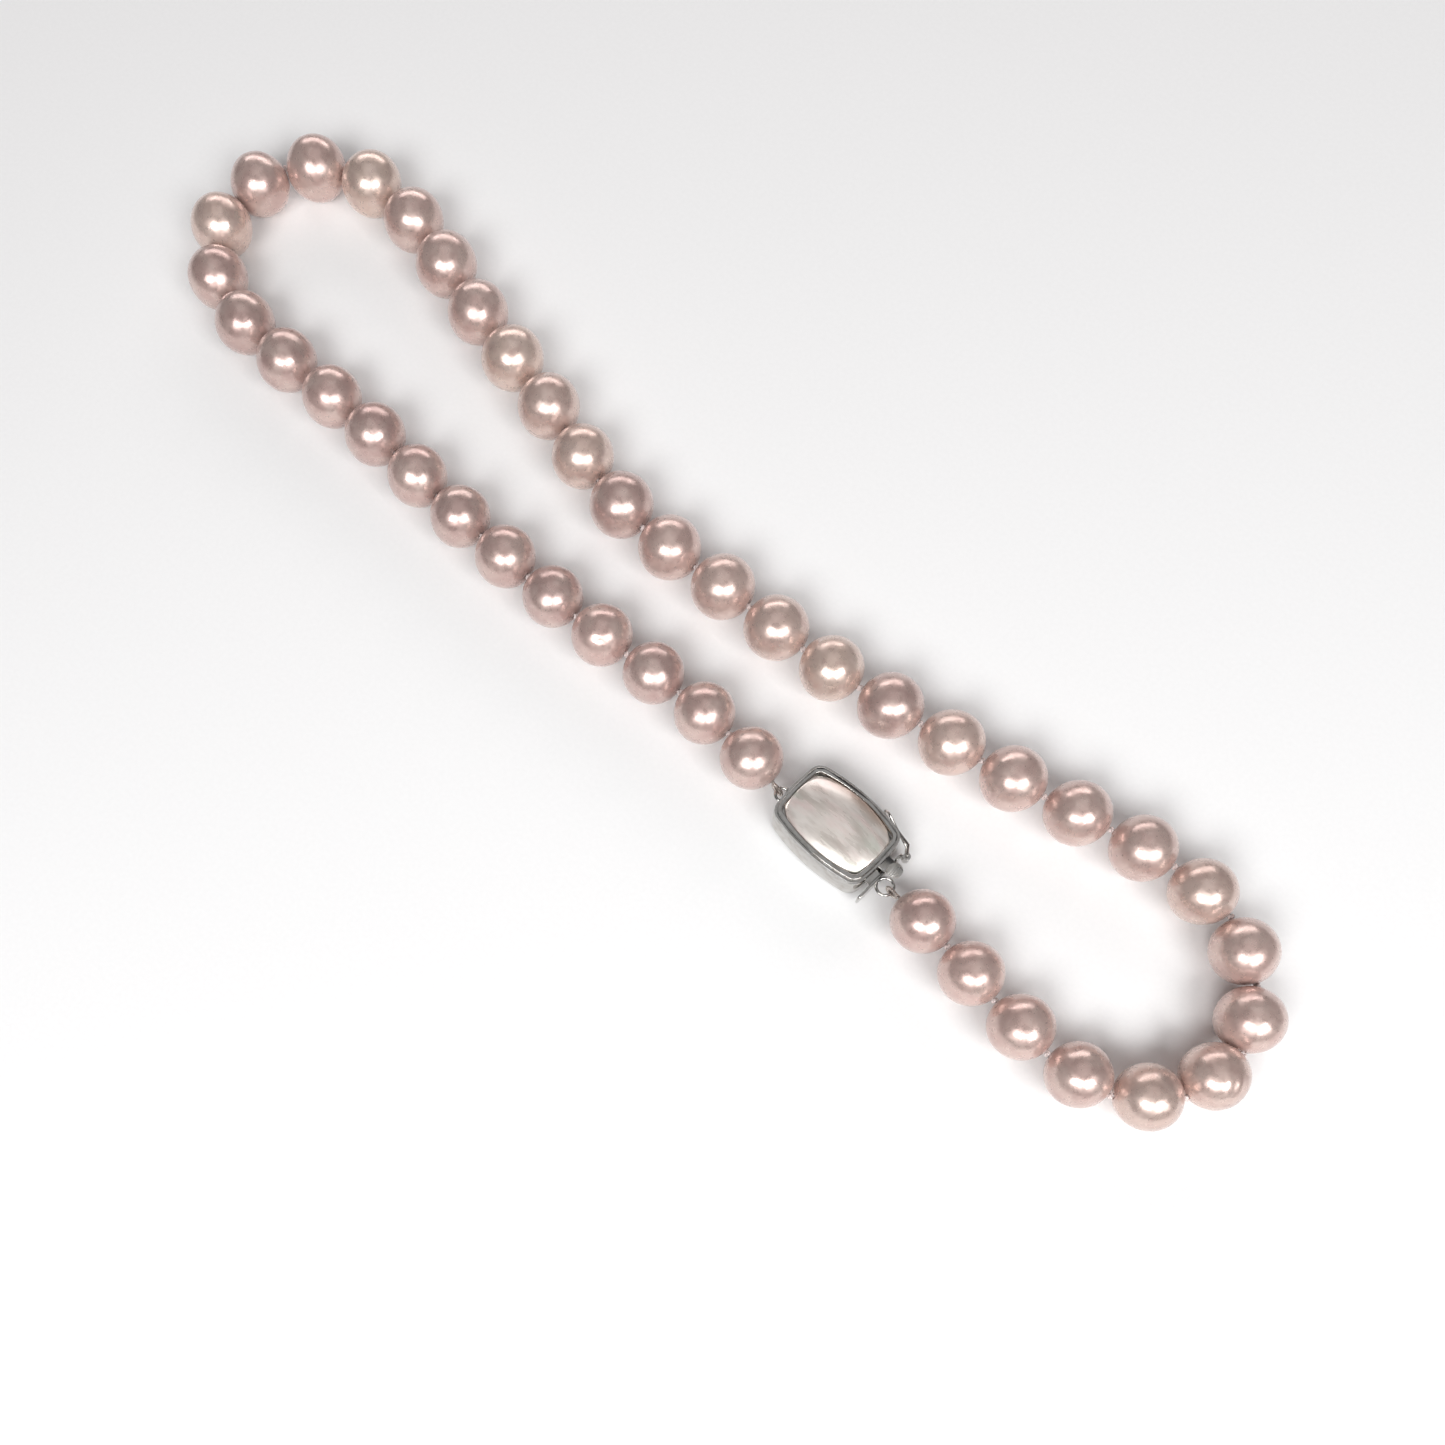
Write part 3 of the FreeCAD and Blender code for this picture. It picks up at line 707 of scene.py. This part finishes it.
def make_coil(node, number, hook):
    centre, _, half_length, _ = SEATS[number]
    low, _, _ = box_of(node)
    loop = Vector((hook.x, hook.y, low.z + LOOP_RADIUS + COIL_OUTSIDE))
    toward = centre - loop
    toward.z = 0
    toward.normalize()
    line = []
    for i in range(LOOP_STEPS + 1):
        angle = TAIL_SLOPE + 2 * math.pi * (1 - i / LOOP_STEPS)
        line.append(loop + (toward * math.cos(angle) + UP * math.sin(angle)) * LOOP_RADIUS)
    line.append(centre - toward * half_length)
    line.append(centre - toward * (half_length - TAIL_DEPTH))
    axis = toward.cross(UP)
    points, travelled = [], 0.0
    for first, second in zip(line, line[1:]):
        run = second - first
        out = axis.cross(run.normalized())
        steps = max(1, round(run.length / COIL_PITCH * COIL_STEPS))
        for i in range(steps):
            turn = 2 * math.pi * (travelled + run.length * i / steps) / COIL_PITCH
            away = out * math.cos(turn) + axis * math.sin(turn)
            points.append(first + run * i / steps + away * COIL_RADIUS)
        travelled += run.length
    mesh = wire_mesh(f"coiled_{node}", [points], COIL_WIRE_RADIUS)
    return add_piece(mesh.name, mesh, COIL_WIRE, [node], BODY_OF[node])


right_low, right_high, _ = box_of("right_ring")
right_hook = Vector((right_high.x - RING_WIRE, (right_low.y + right_high.y) / 2, 0))
coils = [make_coil("gimp_left", 1, KNOTS[0]), make_coil("gimp_right", PEARLS, right_hook)]
print("made", len(coils), "coils with", [len(coil.data.polygons) for coil in coils], "faces")

# %% [markdown]
# ## The silver pieces of the clasp
# Cast and stamped silver never has a razor edge, because polishing rounds it. Each frame part is
# copied, its loose triangles are merged into whole faces, and its edges get a narrow rounded bevel,
# which catches a thin bright line of light.

# %% Silver pieces
MERGE = 0.002 * MM
FLAT = math.radians(0.6)
CREASE = math.radians(32)


def merged_copy(node, name):
    """A frame part's shape as whole faces, ready for edge work."""
    piece = bpy.data.objects.new(name, bpy.data.objects[node].data.copy())
    piece.data.name = name
    bpy.context.collection.objects.link(piece)
    bpy.ops.object.select_all(action="DESELECT")
    piece.select_set(True)
    bpy.context.view_layer.objects.active = piece
    bpy.ops.object.mode_set(mode="EDIT")
    bpy.ops.mesh.select_all(action="SELECT")
    bpy.ops.mesh.remove_doubles(threshold=MERGE)
    bpy.ops.mesh.dissolve_limited(angle_limit=FLAT)
    bpy.ops.mesh.normals_make_consistent(inside=False)
    bpy.ops.object.mode_set(mode="OBJECT")
    return piece


def round_edges(piece, edge_mm):
    rounding = piece.modifiers.new("rounding", "BEVEL")
    rounding.width = edge_mm * MM
    rounding.segments = 3
    rounding.limit_method = "ANGLE"
    rounding.angle_limit = CREASE
    bpy.ops.object.modifier_apply(modifier=rounding.name)
    bpy.ops.object.shade_smooth_by_angle(angle=CREASE)


def settle(piece, node, material):
    """Give the piece its finish, its body and the frame part it stands for."""
    piece.data.materials.clear()
    piece.data.materials.append(material)
    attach(piece, BODY_OF[node])
    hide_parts(node)


SILVER_PIECES = {
    "back_plate": ("clasp_back", 0.06, SILVER),
    "bezel": ("stone_rim", 0.09, SILVER),
    "left_ring": ("left_eye", 0.0, SILVER),
    "right_ring": ("right_eye", 0.0, SILVER),
    "end_plate": ("tongue_plate", 0.06, SILVER),
    "spring_lower_leaf": ("fixed_leaf", 0.03, SILVER),
    "spring_upper_leaf": ("springy_leaf", 0.03, SILVER),
    "thumb_tab": ("ribbed_tab", 0.03, BRUSHED),
    "catch_tube": ("catch_hinge_tube", 0.03, SILVER),
    "catch_stud": ("catch_ball", 0.0, SILVER),
    "safety_catch": ("wire_catch", 0.0, SILVER),
}
for node, (name, edge_mm, material) in SILVER_PIECES.items():
    piece = merged_copy(node, name)
    if edge_mm:
        round_edges(piece, edge_mm)
    else:
        bpy.ops.object.shade_smooth_by_angle(angle=CREASE)
    settle(piece, node, material)
seat = bpy.data.objects["stone_seat"]
seat.data.materials.clear()
seat.data.materials.append(SILVER)
print("made", len(SILVER_PIECES), "silver pieces")

# %% [markdown]
# ## The clasp's walls and their seam
# The walls are one bent strip, soldered under the tray that holds the stone, and the joint shows as a
# thin dark line about a fifth of the way down. Three level cuts are made round the strip, and the
# middle one is pulled inwards to leave a fine groove.

# %% Walls with a seam
SEAM_HEIGHT = 4.75 * MM
SEAM_HALF = 0.07 * MM
SEAM_DEPTH = 0.10 * MM
walls = merged_copy("box_walls", "clasp_walls")
shape = bmesh.new()
shape.from_mesh(walls.data)
for height in (SEAM_HEIGHT - SEAM_HALF, SEAM_HEIGHT, SEAM_HEIGHT + SEAM_HALF):
    everything = shape.verts[:] + shape.edges[:] + shape.faces[:]
    bmesh.ops.bisect_plane(
        shape, geom=everything, plane_co=(0, 0, height), plane_no=(0, 0, 1), dist=MERGE / 10
    )
shape.normal_update()
pushed = 0
for vertex in shape.verts:
    outward = Vector((vertex.co.x, vertex.co.y, 0))
    if abs(vertex.co.z - SEAM_HEIGHT) < MERGE and vertex.normal.dot(outward) > 0:
        vertex.co -= vertex.normal * SEAM_DEPTH
        pushed += 1
shape.to_mesh(walls.data)
shape.free()
bpy.ops.object.shade_smooth_by_angle(angle=CREASE)
settle(walls, "box_walls", SILVER)
print("seam points pulled in:", pushed)

# %% [markdown]
# ## The mother-of-pearl
# The stone is ground to the clasp's outline and domed like a cushion. Spokes from its middle find the
# frame's outline, and points dropped onto the frame's dome find its height. Evenly spaced rings give
# a smooth surface for the polish to reflect in.

# %% Mother-of-pearl stone
SPOKES, RINGS = 180, 30
EDGE_HEIGHT = 5.4 * MM
ABOVE = 20 * MM
SMOOTHINGS = 8
SHOULDER_SHARE = 0.994
SHOULDER_DROP = 0.05 * MM
SIDE_DROP = 0.16 * MM
EDGE_SHARE = 0.985  # the outermost ring that still lies on the dome
stone_mesh = bpy.data.objects["mother_of_pearl"].data
stone_points = [vertex.co for vertex in stone_mesh.vertices]
stone_tree = BVHTree.FromPolygons(stone_points, [face.vertices[:] for face in stone_mesh.polygons])
stone_low, _, stone_middle = box_of("mother_of_pearl")


def dome_height(x, y):
    hit = stone_tree.ray_cast(Vector((x, y, ABOVE)), Vector((0, 0, -1)))[0]
    return hit.z


outline = []
for i in range(SPOKES):
    spoke = Vector((math.cos(2 * math.pi * i / SPOKES), math.sin(2 * math.pi * i / SPOKES), 0))
    edge = stone_tree.ray_cast(Vector((stone_middle.x, stone_middle.y, EDGE_HEIGHT)), spoke)[0]
    outline.append(Vector((edge.x - stone_middle.x, edge.y - stone_middle.y, 0)))
shape = bmesh.new()
crown = shape.verts.new((stone_middle.x, stone_middle.y, dome_height(stone_middle.x, stone_middle.y)))
rings = []
for k in range(1, RINGS + 1):
    share = EDGE_SHARE * k / RINGS
    ring = []
    for edge in outline:
        x, y = stone_middle.x + edge.x * share, stone_middle.y + edge.y * share
        ring.append(shape.verts.new((x, y, dome_height(x, y))))
    rings.append(ring)
rim_height = sum(v.co.z for v in rings[-1]) / SPOKES
OUTER_RINGS = ((SHOULDER_SHARE, SHOULDER_DROP), (1.0, SIDE_DROP), (1.0, rim_height - stone_low.z))
for share, drop in OUTER_RINGS:
    ring = []
    for edge, above in zip(outline, rings[RINGS - 1]):
        height = stone_low.z if drop > MM else above.co.z - drop
        x, y = stone_middle.x + edge.x * share, stone_middle.y + edge.y * share
        ring.append(shape.verts.new((x, y, height)))
    rings.append(ring)
for i in range(SPOKES):
    j = (i + 1) % SPOKES
    shape.faces.new((crown, rings[0][i], rings[0][j]))
    for inner, outer in zip(rings, rings[1:]):
        shape.faces.new((inner[i], outer[i], outer[j], inner[j]))
shape.faces.new(reversed(rings[-1]))
dome = [crown] + [v for ring in rings[: RINGS - 1] for v in ring]
for _ in range(SMOOTHINGS):
    bmesh.ops.smooth_vert(shape, verts=dome, factor=0.5, use_axis_z=True)
bmesh.ops.recalc_face_normals(shape, faces=shape.faces[:])
stone_data = bpy.data.meshes.new("domed_stone")
shape.to_mesh(stone_data)
shape.free()
stone_data.shade_smooth()
stone = add_piece("domed_stone", stone_data, SHELL, ["mother_of_pearl"], BODY_OF["mother_of_pearl"])
bpy.context.view_layer.objects.active = stone
bpy.ops.object.select_all(action="DESELECT")
stone.select_set(True)
bpy.ops.object.shade_smooth_by_angle(angle=CREASE)
print("stone faces:", len(stone.data.polygons))
